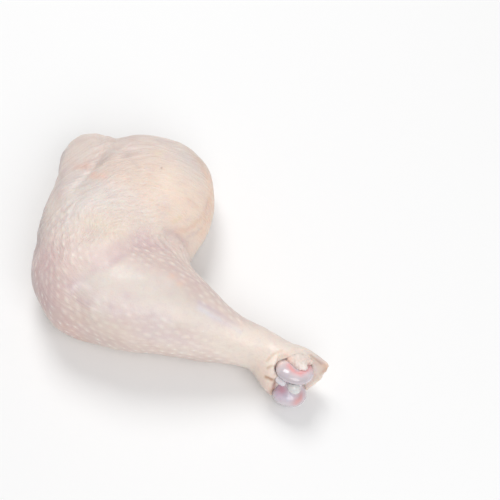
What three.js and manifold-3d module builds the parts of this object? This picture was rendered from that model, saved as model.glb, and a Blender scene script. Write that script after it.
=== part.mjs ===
// A raw chicken leg quarter, skin on and bone in, lying on a flat surface.
// Millimetres, +Z up. The thigh lies away along +Y, the drumstick points to +X and -Y.
// Meat and skin are one rounded solid. Each of its masses is a distance to an oval or to a
// limb of oval sections, and neighbouring masses melt into each other. A lattice laid over
// the distance gives the surface. The shin bone runs through the drumstick and its jointed
// end stands free in the open skin sleeve, with three loose bits of soft tissue on it.

import * as THREE from 'three';
import { mergeVertices } from 'three/addons/utils/BufferGeometryUtils.js';
import Module from 'manifold-3d';

const { abs, min, max, hypot, exp, cos, sin, PI } = Math;

// Where the leg's own middle lies from the first layout's origin, so that it stands centred
const CENTRE = [-0.7, 0.15];

// Spacing of the lattices, the space that the flesh's lattice fills, where it is closer for the
// thin sleeve, and how far the hock's own lattices reach
const STEP = { body: 3.4, upright: 2.4, hock: 1.45, knuckle: 1.4, tissue: 0.95 };
const SPACE = { x: [-68.8, 70], y: [-76, 72], z: [-6, 50] };
const CLOSE = { x: [30, 70], y: [-76, -38], z: [-6, 27] };
const HOCK_REACH = 25;

// Masses of the thigh: middle, half sizes, turn about Z in degrees, melting width
const THIGH = [
  { at: [-25, 24, 19], half: [32, 37, 24], turn: 0, melt: 12 },        // main mass
  { at: [-5.2, 27, 17], half: [20.5, 26.5, 18.5], turn: -8, melt: 12 }, // rear lobe
  { at: [-42.5, 55, 14], half: [12.5, 12.5, 14], turn: 0, melt: 9 },    // front corner of the hip
  { at: [-10, 46, 15], half: [20.5, 14.2, 16], turn: -16, melt: 12 },   // rear corner of the hip
  { at: [-47.5, 35, 16], half: [6, 19, 13], turn: 12, melt: 8 },        // roll of skin in front
  { at: [-45.2, 1, 18], half: [16.8, 28, 20], turn: 4, melt: 14 },      // above the knee
  { at: [-56.6, -6, 15], half: [6, 9, 10], turn: 0, melt: 7 },          // kneecap
];

// Sections of the drumstick from knee to ankle: middle, half width, half height
const DRUMSTICK = [
  [-35.4, -21.5, 18.5, 17.0, 18.5],
  [-21, -24.6, 20.5, 20.4, 21],
  [-5, -27.6, 20, 19.6, 20.5],
  [5, -31.4, 18.5, 16.6, 18],
  [12.5, -35.3, 17, 13.6, 16],
  [23, -39.2, 15, 10.4, 13],
  [32.8, -42.4, 13.5, 9.2, 11],
  [39, -45.6, 12.8, 9.4, 10.3],
  [43.5, -49.2, 12.6, 9.9, 10.4],
];
const SECTIONS_BETWEEN = 6;
const KNEE_MELT = 22;

// The meat sags onto its rest: how far under the floor its round underside would hang, and
// how softly that underside flattens
const SAG = { depth: 0.8, melt: 5 };

// Valleys in the upper skin: points seen from above, half width, depth
const VALLEYS = [
  { path: [[-27, 56], [-29, 49], [-36.5, 34], [-45, 21]], half: 4.5, depth: 1.3 },  // beside the roll
  { path: [[-42, -28], [-31, -19], [-15, -4], [-3, 1.5]], half: 6, depth: 0.9 },    // thigh to drumstick
  { path: [[-3, 1.5], [3.5, 2.5], [8.5, 7]], half: 3.6, depth: 1.1 },               // fold at the crotch
  { path: [[-7, 21], [-1, 15], [4, 9.5]], half: 4, depth: 0.6 },                    // across the rear lobe
];
const VALLEY_FOOT = 12;    // height where a valley starts, and over which it deepens
const VALLEY_RISE = 12;

// The hock joint: its middle, the axis through both condyles, the way the bone points
const HOCK = new THREE.Vector3(49.7, -58, 11.9);
const CONDYLE_AXIS = new THREE.Vector3(0.242, 0.44, 0.865).normalize();
const BONE_HEADING = new THREE.Vector3(0.8, -0.6, 0);

// Shapes at the hock, each in its own axes: a along the bone, b across, m from condyle to condyle
const UPPER_CONDYLE = { at: [-0.35, 0, 5.7], half: [8.4, 8.7, 3.9] };
const LOWER_CONDYLE = { at: [0.3, 0.4, -6], half: [7.5, 7.8, 5.4] };
const GROOVE = { radius: 4.9, back: 0.6, reach: 6 };
const BONE_FLARE = { at: [-8.5, 1.4, 1.4], half: [10, 4.4, 5.8] };
const PIT = { at: [1.6, -1.3, 11.2], half: [5.2, 5.2, 3] };
const SLEEVE = { at: [0, 0.8, 0.85], half: [16, 10.6, 12.2] };
const SLEEVE_HOLLOW = { at: [3, 0.8, 1.8], half: [15, 8.4, 9.8] };
const FLAP = {
  tip: [11.2, 8.9, 12.1], half: 1.3, top: 13.6, foot: -7.5, back: -7,
  lean: 0.17, bow: 0.0125, droop: 0.013, tail: 0.06, curl: 0.018, curlFrom: 2,
  corner: 1.5, edge: 1, root: 2,
};
const CUT = {
  at: 1.8, slant: 0.9, bowAbove: 0.062, bowBelow: 0.02, middle: 2.5, reach: 24, steepness: 1.5,
};
const SLEEVE_ZONE = 34;    // the sleeve's shapes count only this near to the hock

// How far the sleeve's inside stands off the bone on the near side, how much more on the far
// side, and from where to where across the leg it opens
const HUGGING = { apart: 0.8, opening: 8, across: [-3, 5] };

// Where the cut draws back to bare the near side of the upper condyle: how far along the bone
// it lies there, how it rises from near to far, and between which heights it draws back
const BARED = { at: -7.5, rise: 9, across: [-4.2, 3.2], near: 0.4, turn: -4.7, up: [2.5, 6] };

// How softly the shapes at the hock run into each other
const BONE_MELT = { condyles: 1.5, core: 2, flare: 4, pit: 1.2 };
const SLEEVE_MELT = { outside: 5, cut: 1.2, hollow: 1, flap: 3, bone: 0.3 };
const TISSUE_MELT = 1.2;

const GAP = 0.4;           // clearance round the bone
const TISSUE_GAP = 0.35;

// Bits of soft tissue on the joint, in the hock's axes
const TENDON_LUMPS = [
  { at: [-1.2, 3.2, 10.2], half: [4.6, 4.4, 2.2] },
  { at: [-3.8, 5.4, 11], half: [3.2, 2.6, 1.9] },
  { at: [-3.4, 0.3, 9.7], half: [2, 2.2, 2.2] },
  { at: [-0.6, 0.4, 9.2], half: [2.6, 2.4, 2.1] },
  { at: [1.6, 1.4, 9.4], half: [2.6, 2.2, 2.2] },
  { at: [2.6, -0.1, 8.9], half: [1.9, 1.7, 1.9] },
  { at: [2.4, 5.4, 9.8], half: [2.2, 2.4, 1.6] },
];
const CARTILAGE_LUMPS = [
  { at: [3.4, -5.1, 1.5], half: [2.7, 2.4, 2.2] },
  { at: [4.3, -4.5, 0.4], half: [2.2, 2.2, 1.6] },
];
const LIGAMENT_LUMPS = [
  { at: [-3.8, -6, 2], half: [1.8, 1.5, 1.6] },
  { at: [-2.3, -6.3, 1.8], half: [1.9, 1.5, 1.5] },
  { at: [-1.1, -6.3, 1.5], half: [1.2, 1.3, 1.2] },
];

// Shaft of the shin bone, from inside its flare to the knee: distance along it, radius
const ANKLE_END = new THREE.Vector3(42, -49.5, 12.2);
const KNEE_END = new THREE.Vector3(-30, -24, 20);
const SHAFT = [[0, 0], [0, 3.2], [14, 3.4], [36, 3.2], [54, 3.8], [66, 5.4], [73, 6.2]];
const SHAFT_SIDES = 16;
const SHAFT_CAP = { steps: 4, bulge: 0.6 };

// Block that takes away what would hang under the resting plane
const BLOCK = { wide: 200, deep: 20 };

// Steps that move a lattice point onto the surface, and the longest of them
const SETTLING = { rounds: 3, longest: 1, probe: 0.05 };

// Colours, as bare skin, cartilage and tissue show them
const FINISH = {
  skin: { color: 0xecdacd, roughness: 0.5 },
  bone: { color: 0xd9cdd3, roughness: 0.25 },
  tendon: { color: 0xebdcd0, roughness: 0.45 },
  cartilage: { color: 0xdcdad8, roughness: 0.3 },
  ligament: { color: 0xe3dfdd, roughness: 0.35 },
};

// Smooth union and smooth intersection of two distances over a width
const melt = (p, q, width) => min(p, q) - max(width - abs(p - q), 0) ** 2 / (4 * width);
const trim = (p, q, width) => -melt(-p, -q, width);

// Rise from 0 to 1 between two values, level at both
function smoothStep(value, [start, end]) {
  const t = min(max((value - start) / (end - start), 0), 1);
  return t * t * (3 - 2 * t);
}

// Distance to an oval, near enough close to its surface
function oval(x, y, z, { at, half }) {
  const u = (x - at[0]) / half[0];
  const v = (y - at[1]) / half[1];
  const w = (z - at[2]) / half[2];
  const size = hypot(u, v, w);
  const slope = hypot(u / half[0], v / half[1], w / half[2]);
  return size * (size - 1) / max(slope, 1e-9);
}

// Thigh masses with their turns worked out once
const thighMasses = THIGH.map(({ at, half, turn, melt: width }) => {
  const angle = turn * PI / 180;
  return { at, width, c: cos(angle), s: sin(angle), shape: { at: [0, 0, 0], half } };
});

function thigh(x, y, z) {
  let distance = 1e3;
  for (const { at, width, c, s, shape } of thighMasses) {
    const u = x - at[0];
    const v = y - at[1];
    const next = oval(c * u + s * v, c * v - s * u, z - at[2], shape);
    distance = distance === 1e3 ? next : melt(distance, next, width);
  }
  return distance;
}

// Rows on a Catmull-Rom curve through the given rows
function smoothRows(rows, between) {
  const ends = (p, q) => p.map((value, k) => 2 * value - q[k]);
  const all = [ends(rows[0], rows[1]), ...rows, ends(rows.at(-1), rows.at(-2))];
  const out = [];
  for (let i = 1; i < all.length - 2; i += 1) {
    const [p, q, r, s] = all.slice(i - 1, i + 3);
    for (let j = 0; j < between; j += 1) {
      const t = j / between;
      out.push(q.map((_, k) => 0.5 * (2 * q[k] + (r[k] - p[k]) * t
        + (2 * p[k] - 5 * q[k] + 4 * r[k] - s[k]) * t * t
        + (3 * q[k] - p[k] - 3 * r[k] + s[k]) * t ** 3)));
    }
  }
  out.push(rows.at(-1));
  return out;
}

// The drumstick's axis as short straight lengths, each with the directions of its section
const drumstickRows = smoothRows(DRUMSTICK, SECTIONS_BETWEEN);
const drumstickLengths = drumstickRows.slice(1).map((end, i) => {
  const start = drumstickRows[i];
  const along = new THREE.Vector3(end[0] - start[0], end[1] - start[1], end[2] - start[2]);
  const length = along.length();
  along.normalize();
  const side = new THREE.Vector3(0, 0, 1).cross(along).normalize();
  const up = along.clone().cross(side);
  return { start, end, length, along, side, up };
});

function drumstick(x, y, z) {
  let distance = 1e3;
  for (const { start, end, length, along, side, up } of drumstickLengths) {
    const u = x - start[0];
    const v = y - start[1];
    const w = z - start[2];
    const run = u * along.x + v * along.y + w * along.z;
    const t = min(max(run / length, 0), 1);
    const width = start[3] + t * (end[3] - start[3]);
    const height = start[4] + t * (end[4] - start[4]);
    const rest = run - t * length;
    const across = u * side.x + v * side.y;
    const above = u * up.x + v * up.y + w * up.z;
    const section = { at: [0, 0, 0], half: [width, height, min(width, height)] };
    distance = min(distance, oval(across, above, rest, section));
  }
  return distance;
}

// How deep the valleys press the upper skin in
function valleyDepth(x, y, z) {
  const fade = smoothStep(z, [VALLEY_FOOT, VALLEY_FOOT + VALLEY_RISE]);
  if (fade === 0) return 0;
  let depth = 0;
  for (const { path, half, depth: full } of VALLEYS) {
    let near = 1e3;
    for (let i = 1; i < path.length; i += 1) {
      const [x0, y0] = path[i - 1];
      const u = path[i][0] - x0;
      const v = path[i][1] - y0;
      const t = min(max(((x - x0) * u + (y - y0) * v) / (u * u + v * v), 0), 1);
      near = min(near, hypot(x - x0 - t * u, y - y0 - t * v));
    }
    depth += full * exp(-((near / half) ** 2));
  }
  return depth * fade;
}

// Axes of the hock: a along the bone, m through the condyles, b across both
const axisM = CONDYLE_AXIS;
const axisA = BONE_HEADING.clone().addScaledVector(axisM, -BONE_HEADING.dot(axisM)).normalize();
const axisB = axisM.clone().cross(axisA);
function atHock(x, y, z) {
  const u = x - HOCK.x;
  const v = y - HOCK.y;
  const w = z - HOCK.z;
  return [axisA, axisB, axisM].map((axis) => u * axis.x + v * axis.y + w * axis.z);
}

// Two wheel-like condyles on a short core, pitted on the upper one's outer side
function knuckleAt([a, b, m]) {
  const core = max(hypot(a + GROOVE.back, b) - GROOVE.radius, abs(m) - GROOVE.reach);
  const condyles = [UPPER_CONDYLE, LOWER_CONDYLE].map((condyle) => oval(a, b, m, condyle));
  let distance = melt(...condyles, BONE_MELT.condyles);
  distance = melt(distance, core, BONE_MELT.core);
  distance = melt(distance, oval(a, b, m, BONE_FLARE), BONE_MELT.flare);
  return trim(distance, -oval(a, b, m, PIT), BONE_MELT.pit);
}
const knuckle = (x, y, z) => knuckleAt(atHock(x, y, z));

// Where the skin ends on the far side, at each height
function flapEdge(m) {
  const below = FLAP.tip[2] - m;
  return FLAP.tip[0] - FLAP.lean * below - FLAP.bow * below * below;
}

// Slanting cut that opens the sleeve and draws back over the upper condyle
function sleeveCut([a, b, m]) {
  const bow = m > CUT.middle ? CUT.bowAbove : CUT.bowBelow;
  const slanting = CUT.at + CUT.slant * b - bow * (m - CUT.middle) ** 2;
  const lip = min(slanting, flapEdge(m));
  const bared = BARED.at + BARED.rise * smoothStep(b, BARED.across) + BARED.near * max(BARED.turn - b, 0);
  const drawnBack = smoothStep(m, BARED.up) * min(bared - lip, 0);
  return min((a - lip - drawnBack) / CUT.steepness, CUT.reach - hypot(a, b, m));
}

// Inside of the sleeve: close round the bone on the near side, open on the far side
function sleeveHollow(q, knuckleDistance) {
  const room = HUGGING.apart + HUGGING.opening * smoothStep(q[1], HUGGING.across);
  return max(oval(...q, SLEEVE_HOLLOW), knuckleDistance - room);
}

// Corner of skin that is left longer on the far side
function sleeveFlap([a, b, m]) {
  const edge = a - flapEdge(m);
  const fall = (a > 0 ? FLAP.droop : FLAP.tail) * a ** 2;
  const top = m - (FLAP.top - fall);
  const curl = FLAP.curl * (m - FLAP.curlFrom) ** 2;
  const sheet = abs(b - FLAP.tip[1] + curl) - FLAP.half;
  const outline = trim(trim(edge, top, FLAP.corner), sheet, FLAP.edge);
  return trim(trim(outline, FLAP.back - a, FLAP.root), FLAP.foot - m, FLAP.root);
}

function flesh(x, y, z) {
  let distance = melt(thigh(x, y, z), drumstick(x, y, z), KNEE_MELT) + valleyDepth(x, y, z);
  const q = atHock(x, y, z);
  if (hypot(...q) < SLEEVE_ZONE) {
    const knuckleDistance = knuckleAt(q);
    distance = melt(distance, oval(...q, SLEEVE), SLEEVE_MELT.outside);
    distance = trim(distance, sleeveCut(q), SLEEVE_MELT.cut);
    distance = trim(distance, -sleeveHollow(q, knuckleDistance), SLEEVE_MELT.hollow);
    distance = melt(distance, sleeveFlap(q), SLEEVE_MELT.flap);
    distance = trim(distance, GAP - knuckleDistance, SLEEVE_MELT.bone);
  }
  return trim(distance, -(z + SAG.depth), SAG.melt);
}

// Loose tissue: lumps melted together, kept clear of the bone and of the skin
const tissue = (lumps) => (x, y, z) => {
  const q = atHock(x, y, z);
  let distance = oval(...q, lumps[0]);
  for (const lump of lumps.slice(1)) distance = melt(distance, oval(...q, lump), TISSUE_MELT);
  return max(distance, TISSUE_GAP - knuckleAt(q), TISSUE_GAP - flesh(x, y, z));
};

// Lattice positions along one axis, closer together between two places
function ruler([from, to], wide, [closeFrom, closeTo], close) {
  const marks = [from];
  while (marks.at(-1) < to) {
    const here = marks.at(-1);
    marks.push(here + (here >= closeFrom && here < closeTo ? close : wide));
  }
  return marks;
}

// A lattice cell: its corners, its edges from a lower to a higher corner, and the ring of
// edges round each of its faces
const CORNERS = [0, 1, 2, 3, 4, 5, 6, 7].map((n) => [n & 1, (n >> 1) & 1, n >> 2]);
const EDGES = CORNERS.flatMap((_, n) => [1, 2, 4].filter((bit) => !(n & bit)).map((bit) => [n, n | bit]));
const edgeBetween = (p, q) => EDGES.findIndex((ends) => ends.includes(p) && ends.includes(q));
const RINGS = [0, 1, 2].flatMap((axis) => [0, 1 << axis].map((base) => {
  const one = 1 << ((axis + 1) % 3);
  const two = 1 << ((axis + 2) % 3);
  const round = [base, base | one, base | one | two, base | two];
  return round.map((from, n) => {
    const to = round[(n + 1) % 4];
    return { from, to, edge: edgeBetween(from, to) };
  });
}));

// A name for each edge, alike where one sheet of the surface crosses them: a sheet goes from
// edge to edge over each face, and where all four are crossed it turns round the inner corners
function sheetsIn(inside) {
  const sheet = EDGES.map((_, n) => n);
  function join(p, q) {
    const old = sheet[p];
    const name = sheet[q];
    sheet.forEach((one, n) => { if (one === old) sheet[n] = name; });
  }
  for (const ring of RINGS) {
    const crossed = ring.filter(({ from, to }) => inside[from] !== inside[to]);
    if (crossed.length === 2) join(crossed[0].edge, crossed[1].edge);
    if (crossed.length < 4) continue;
    ring.forEach(({ to, edge }, n) => { if (inside[to]) join(edge, ring[(n + 1) % 4].edge); });
  }
  return sheet;
}

// Surface of a field on a lattice: a point for each sheet of the surface in a cell, moved onto
// the surface, and one four-sided face round each lattice edge that the surface crosses
function surface(field, [xs, ys, zs]) {
  const [nx, ny, nz] = [xs.length, ys.length, zs.length];
  const index = (i, j, k) => (i * ny + j) * nz + k;
  const value = new Float64Array(nx * ny * nz);
  xs.forEach((x, i) => ys.forEach((y, j) => zs.forEach((z, k) => {
    value[index(i, j, k)] = field(x, y, z);
  })));

  const points = [];
  const cells = new Map();
  function addCell(...cell) {
    const at = CORNERS.map((corner) => value[index(...cell.map((c, n) => c + corner[n]))]);
    const inside = at.map((distance) => distance < 0);
    if (inside.every((one) => one === inside[0])) return;
    const place = (corner) => [xs, ys, zs].map((marks, n) => marks[cell[n] + CORNERS[corner][n]]);
    const crossings = new Map();
    const sheet = sheetsIn(inside);
    EDGES.forEach(([p, q], n) => {
      if (inside[p] === inside[q]) return;
      if (!crossings.has(sheet[n])) crossings.set(sheet[n], []);
      const t = at[p] / (at[p] - at[q]);
      const to = place(q);
      crossings.get(sheet[n]).push(place(p).map((c, k) => c + t * (to[k] - c)));
    });
    const pointOf = new Map();
    for (const [name, list] of crossings) {
      const middle = [0, 1, 2].map((n) => list.reduce((sum, c) => sum + c[n], 0) / list.length);
      pointOf.set(name, points.length);
      points.push(settle(field, middle));
    }
    cells.set(index(...cell), sheet.map((name) => pointOf.get(name)));
  }
  for (let i = 0; i < nx - 1; i += 1) {
    for (let j = 0; j < ny - 1; j += 1) {
      for (let k = 0; k < nz - 1; k += 1) addCell(i, j, k);
    }
  }

  const faces = [];
  const count = [nx, ny, nz];
  function addFace(here, axis) {
    const one = (axis + 1) % 3;
    const two = (axis + 2) % 3;
    if (here[axis] + 1 >= count[axis] || here[one] === 0 || here[two] === 0) return;
    const next = [...here];
    next[axis] += 1;
    const inside = value[index(...here)] < 0;
    if (inside === (value[index(...next)] < 0)) return;
    const ring = [[1, 1], [0, 1], [0, 0], [1, 0]].map(([p, q]) => {
      const cell = [...here];
      cell[one] -= p;
      cell[two] -= q;
      const corner = (p << one) | (q << two);
      return cells.get(index(...cell))[edgeBetween(corner, corner | (1 << axis))];
    });
    if (!inside) ring.reverse();
    faces.push(...splitFace(points, ring));
  }
  for (let i = 0; i < nx; i += 1) {
    for (let j = 0; j < ny; j += 1) {
      for (let k = 0; k < nz; k += 1) {
        for (let axis = 0; axis < 3; axis += 1) addFace([i, j, k], axis);
      }
    }
  }
  return { points, faces };
}

// Newton steps onto the surface, along the field's slope
function settle(field, point) {
  const { rounds, longest, probe } = SETTLING;
  let p = point;
  for (let round = 0; round < rounds; round += 1) {
    const slope = [0, 1, 2].map((n) => {
      const ahead = [...p];
      const behind = [...p];
      ahead[n] += probe;
      behind[n] -= probe;
      return (field(...ahead) - field(...behind)) / (2 * probe);
    });
    const steep = max(hypot(...slope) ** 2, 1e-6);
    const move = slope.map((g) => -field(...p) * g / steep);
    const far = min(1, longest / max(hypot(...move), 1e-9));
    p = p.map((c, n) => c + far * move[n]);
  }
  return p;
}

// A four-sided face as two triangles across its shorter diagonal
function splitFace(points, [p, q, r, s]) {
  const apart = (m, n) => hypot(...points[m].map((c, k) => c - points[n][k]));
  return apart(p, r) < apart(q, s) ? [[p, q, r], [p, r, s]] : [[p, q, s], [q, r, s]];
}

// Solids for cutting and joining
const wasm = await Module();
wasm.setup();
const solid = (vertProperties, triVerts) => new wasm.Manifold(
  new wasm.Mesh({ numProp: 3, vertProperties, triVerts }),
);
function solidOf({ points, faces }) {
  return solid(new Float32Array(points.flat()), new Uint32Array(faces.flat()));
}
function solidFrom(geometry) {
  const bare = geometry.clone();
  bare.deleteAttribute('normal');
  bare.deleteAttribute('uv');
  const merged = mergeVertices(bare, 1e-4);
  return solid(new Float32Array(merged.attributes.position.array), new Uint32Array(merged.index.array));
}

// The one large body of a solid, without loose scraps that a cut leaves
function whole(body) {
  return body.decompose().reduce((best, next) => (next.volume() > best.volume() ? next : best));
}

// Shin bone's shaft, thicker by a clearance where it is used to hollow the flesh
function shaft(clearance) {
  const profile = SHAFT.map(([along, radius]) => new THREE.Vector2(radius && radius + clearance, along));
  const [length, endRadius] = SHAFT.at(-1);
  const round = endRadius + clearance;
  for (let n = 1; n <= SHAFT_CAP.steps; n += 1) {
    const angle = n / SHAFT_CAP.steps * PI / 2;
    const radius = n === SHAFT_CAP.steps ? 0 : round * cos(angle);
    profile.push(new THREE.Vector2(radius, length + SHAFT_CAP.bulge * round * sin(angle)));
  }
  const along = KNEE_END.clone().sub(ANKLE_END).normalize();
  const geometry = new THREE.LatheGeometry(profile, SHAFT_SIDES);
  geometry.applyQuaternion(new THREE.Quaternion().setFromUnitVectors(new THREE.Vector3(0, 1, 0), along));
  geometry.translate(ANKLE_END.x, ANKLE_END.y, ANKLE_END.z);
  return solidFrom(geometry);
}

// Everything below the resting plane
function underFloor() {
  const block = new THREE.BoxGeometry(BLOCK.wide, BLOCK.wide, BLOCK.deep);
  block.translate(0, 0, -BLOCK.deep / 2);
  return solidFrom(block);
}

// Even lattice round the hock
const hockRulers = (step) => HOCK.toArray().map((middle) => {
  const ends = [middle - HOCK_REACH, middle + HOCK_REACH];
  return ruler(ends, step, ends, step);
});

function makeFlesh() {
  const rulers = [
    ruler(SPACE.x, STEP.body, CLOSE.x, STEP.hock),
    ruler(SPACE.y, STEP.body, CLOSE.y, STEP.hock),
    ruler(SPACE.z, STEP.body, CLOSE.z, STEP.upright),
  ];
  return whole(solidOf(surface(flesh, rulers)).subtract(underFloor()).subtract(shaft(GAP)));
}
const makeBone = () => solidOf(surface(knuckle, hockRulers(STEP.knuckle))).add(shaft(0));
const makeTissue = (lumps) => whole(solidOf(surface(tissue(lumps), hockRulers(STEP.tissue))));

function meshOf(name, body, { color, roughness }) {
  const { vertProperties, triVerts } = body.getMesh();
  const geometry = new THREE.BufferGeometry();
  geometry.setAttribute('position', new THREE.BufferAttribute(vertProperties, 3));
  geometry.setIndex(new THREE.BufferAttribute(triVerts, 1));
  geometry.computeVertexNormals();
  const material = new THREE.MeshStandardMaterial({ color, roughness, metalness: 0 });
  const mesh = new THREE.Mesh(geometry, material);
  mesh.name = name;
  return mesh;
}

const leg = new THREE.Group();
leg.add(
  meshOf('flesh_and_skin', makeFlesh(), FINISH.skin),
  meshOf('shin_bone', makeBone(), FINISH.bone),
  meshOf('tendon_scrap', makeTissue(TENDON_LUMPS), FINISH.tendon),
  meshOf('cartilage_pad', makeTissue(CARTILAGE_LUMPS), FINISH.cartilage),
  meshOf('ligament', makeTissue(LIGAMENT_LUMPS), FINISH.ligament),
);
leg.position.set(CENTRE[0], CENTRE[1], 0);

export default leg;
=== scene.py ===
# A raw chicken leg quarter lying flat: its skin, the bare knuckle and the bits of tissue on it.
# Each piece is the surface of a distance field, with relief and colour worked out at its points.
import math

import bpy
import numpy as np
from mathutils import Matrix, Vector
from mathutils.kdtree import KDTree


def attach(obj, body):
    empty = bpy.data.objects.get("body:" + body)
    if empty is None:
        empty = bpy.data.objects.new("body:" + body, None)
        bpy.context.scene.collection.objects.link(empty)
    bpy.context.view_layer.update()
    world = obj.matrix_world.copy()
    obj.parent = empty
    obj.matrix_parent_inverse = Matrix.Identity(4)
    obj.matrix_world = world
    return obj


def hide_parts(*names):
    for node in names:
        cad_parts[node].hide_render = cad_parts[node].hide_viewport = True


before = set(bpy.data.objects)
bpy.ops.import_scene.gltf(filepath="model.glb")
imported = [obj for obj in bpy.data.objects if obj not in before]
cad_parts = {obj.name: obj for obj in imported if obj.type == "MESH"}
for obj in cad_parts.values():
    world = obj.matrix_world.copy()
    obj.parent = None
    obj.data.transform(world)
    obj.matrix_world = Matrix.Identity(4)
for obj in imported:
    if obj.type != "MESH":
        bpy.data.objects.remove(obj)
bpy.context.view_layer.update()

# Millimetres in the leg's own axes. CENTRE is where those stand in the frame, FAR is past all.
MM = 0.001
CENTRE = np.array([-0.7, 0.15, 0.0])
FAR = 1e3

# Lattice spacings of the pieces and of their parts
STEP = {"skin": 0.68, "hock": 0.42, "knuckle": 0.42, "shaft": 1.6, "tissue": 0.24}

# Ends of the lattices in x, y and z: the skin's, its closer part and the bone's
SPACE = [(-68, 70), (-76, 72), (-2, 47)]
CLOSE = [(34, 70), (-76, -46), (-2, -2)]
BONE_SPACE = [(-36, 78), (-84, -16), (-2, 38)]

# How far the bone's closer part reaches round the hock, and a bit's lattice round its lumps
HOCK_REACH = 27
TISSUE_REACH = 7

# Lattice points worked out at a time, and the way to a neighbour along each axis
CHUNK = 200000
STRIDES = np.eye(3, dtype=int)

# Masses of the thigh: middle, half sizes, turn about Z in degrees, melting width
THIGH = [
    ((-25, 24, 19), (32, 37, 24), 0, 12),
    ((-5.2, 27, 17), (20.5, 26.5, 18.5), -8, 12),
    ((-42.5, 55, 14), (12.5, 12.5, 14), 0, 9),
    ((-10, 46, 15), (20.5, 14.2, 16), -16, 12),
    ((-47.5, 35, 16), (6, 19, 13), 12, 8),
    ((-45.2, 1, 18), (16.8, 28, 20), 4, 14),
    ((-56.6, -6, 15), (6, 9, 10), 0, 7),
]

# Sections of the drumstick from knee to ankle: middle, half width, half height, and the width
# over which the thigh melts into it
DRUMSTICK = [
    (-35.4, -21.5, 18.5, 17.0, 18.5),
    (-21, -24.6, 20.5, 20.4, 21),
    (-5, -27.6, 20, 19.6, 20.5),
    (5, -31.4, 18.5, 16.6, 18),
    (12.5, -35.3, 17, 13.6, 16),
    (23, -39.2, 15, 10.4, 13),
    (32.8, -42.4, 13.5, 9.2, 11),
    (39, -45.6, 12.8, 9.4, 10.3),
    (43.5, -49.2, 12.6, 9.9, 10.4),
]
KNEE_MELT = 22

# Straight pieces of a curve between two of its given points
SUBLENGTHS = {"drumstick": 8, "leg": 6, "crease": 5}

# The flat underside: depth of the cutting plane under the floor, and the cut's rounding
SAG = (0.8, 5)

# Valleys in the upper skin: points seen from above, half width, depth, and the heights between
# which they set in
VALLEYS = [
    ([(-27, 56), (-29, 49), (-36.5, 34), (-45, 21)], 4.5, 1.3),
    ([(-42, -28), (-31, -19), (-15, -4), (-3, 1.5)], 6, 0.9),
    ([(-3, 1.5), (3.5, 2.5), (8.5, 7)], 3.6, 1.1),
    ([(-7, 21), (-1, 15), (4, 9.5)], 4, 0.6),
]
VALLEY_FADE = (12, 24)

# The hock joint: its middle, the axis through both condyles, the way the bone points
HOCK = np.array([49.7, -58, 11.9])
CONDYLE_AXIS = np.array([0.242, 0.44, 0.865])
BONE_HEADING = np.array([0.8, -0.6, 0])

# Shapes at the hock in its own axes: a along the bone, b across, m from condyle to condyle
UPPER_CONDYLE = ((-0.35, 0, 5.7), (8.4, 8.7, 3.9))
LOWER_CONDYLE = ((0.3, 0.4, -6.0), (7.5, 7.8, 5.4))
GROOVE = {"radius": 4.9, "back": 0.6, "reach": 6}
BONE_FLARE = ((-8.5, 1.4, 1.4), (10, 4.4, 5.8))
PIT = ((1.6, -1.3, 11.2), (5.2, 5.2, 3.0))
BONE_MELT = {"condyles": 1.5, "groove": 2, "flare": 4, "pit": 1.2, "shaft": 1.5}

# Shaft of the shin bone: from inside its flare to the knee, distance along it and radius, and
# how far past the last of those it ends, rounded by as much
ANKLE_END = np.array([42, -49.5, 12.2])
KNEE_END = np.array([-30, -24, 20])
SHAFT = [(0, 3.2), (14, 3.4), (36, 3.2), (54, 3.8), (66, 5.4), (73, 6.2)]
SHAFT_END = 3

# The sleeve of skin, its hollow, and how far from the hock any of it reaches
SLEEVE = ((0, 0.8, 0.85), (16, 10.6, 12.2))
SLEEVE_HOLLOW = ((3, 0.8, 1.8), (15, 8.4, 9.8))
HUGGING = {"apart": 0.1, "opening": 8, "across": (-3, 5)}
SLEEVE_MELT = {"shin": 5, "cut": 1.4, "hollow": 0.5, "flap": 2.6, "bone": 0.3}
SLEEVE_ZONE = 34

# Its long corner on the far side, a bent sheet that thins towards the tip
FLAP = {"tip": (11.2, 8.9, 12.1), "half": 1.3, "top": 13.6, "foot": -7.5, "back": -7,
        "lean": 0.17, "bow": 0.0125, "droop": 0.013, "tail": 0.06, "curl": 0.018, "curl_from": 2,
        "thinner": 0.45, "thin_over": (1, 11)}
FLAP_MELT = {"top": 1.5, "sheet": 1, "ends": 2}

# Where the sleeve is cut off, and where it is drawn back to bare the upper condyle
CUT = {"at": 1.8, "slant": 0.9, "bow_above": 0.062, "bow_below": 0.02, "middle": 2.5,
       "reach": 24, "steepness": 1.5}
BARED = {"at": -7.5, "rise": 9, "across": (-4.2, 3.2), "near": 0.4, "turn": -4.7, "up": (2.5, 6)}

# Torn edges: how far they wander, how often, seed
RAGGED = {"cut": [(0.4, 0.42, 3), (0.15, 1.1, 4)], "flap": [(0.4, 0.4, 5), (0.18, 1.2, 6)]}

# How far skin and tissue stand off the bone: less than the solids do, as a dark gap would show
GAP = 0.06
TISSUE_GAP = 0.04

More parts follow.
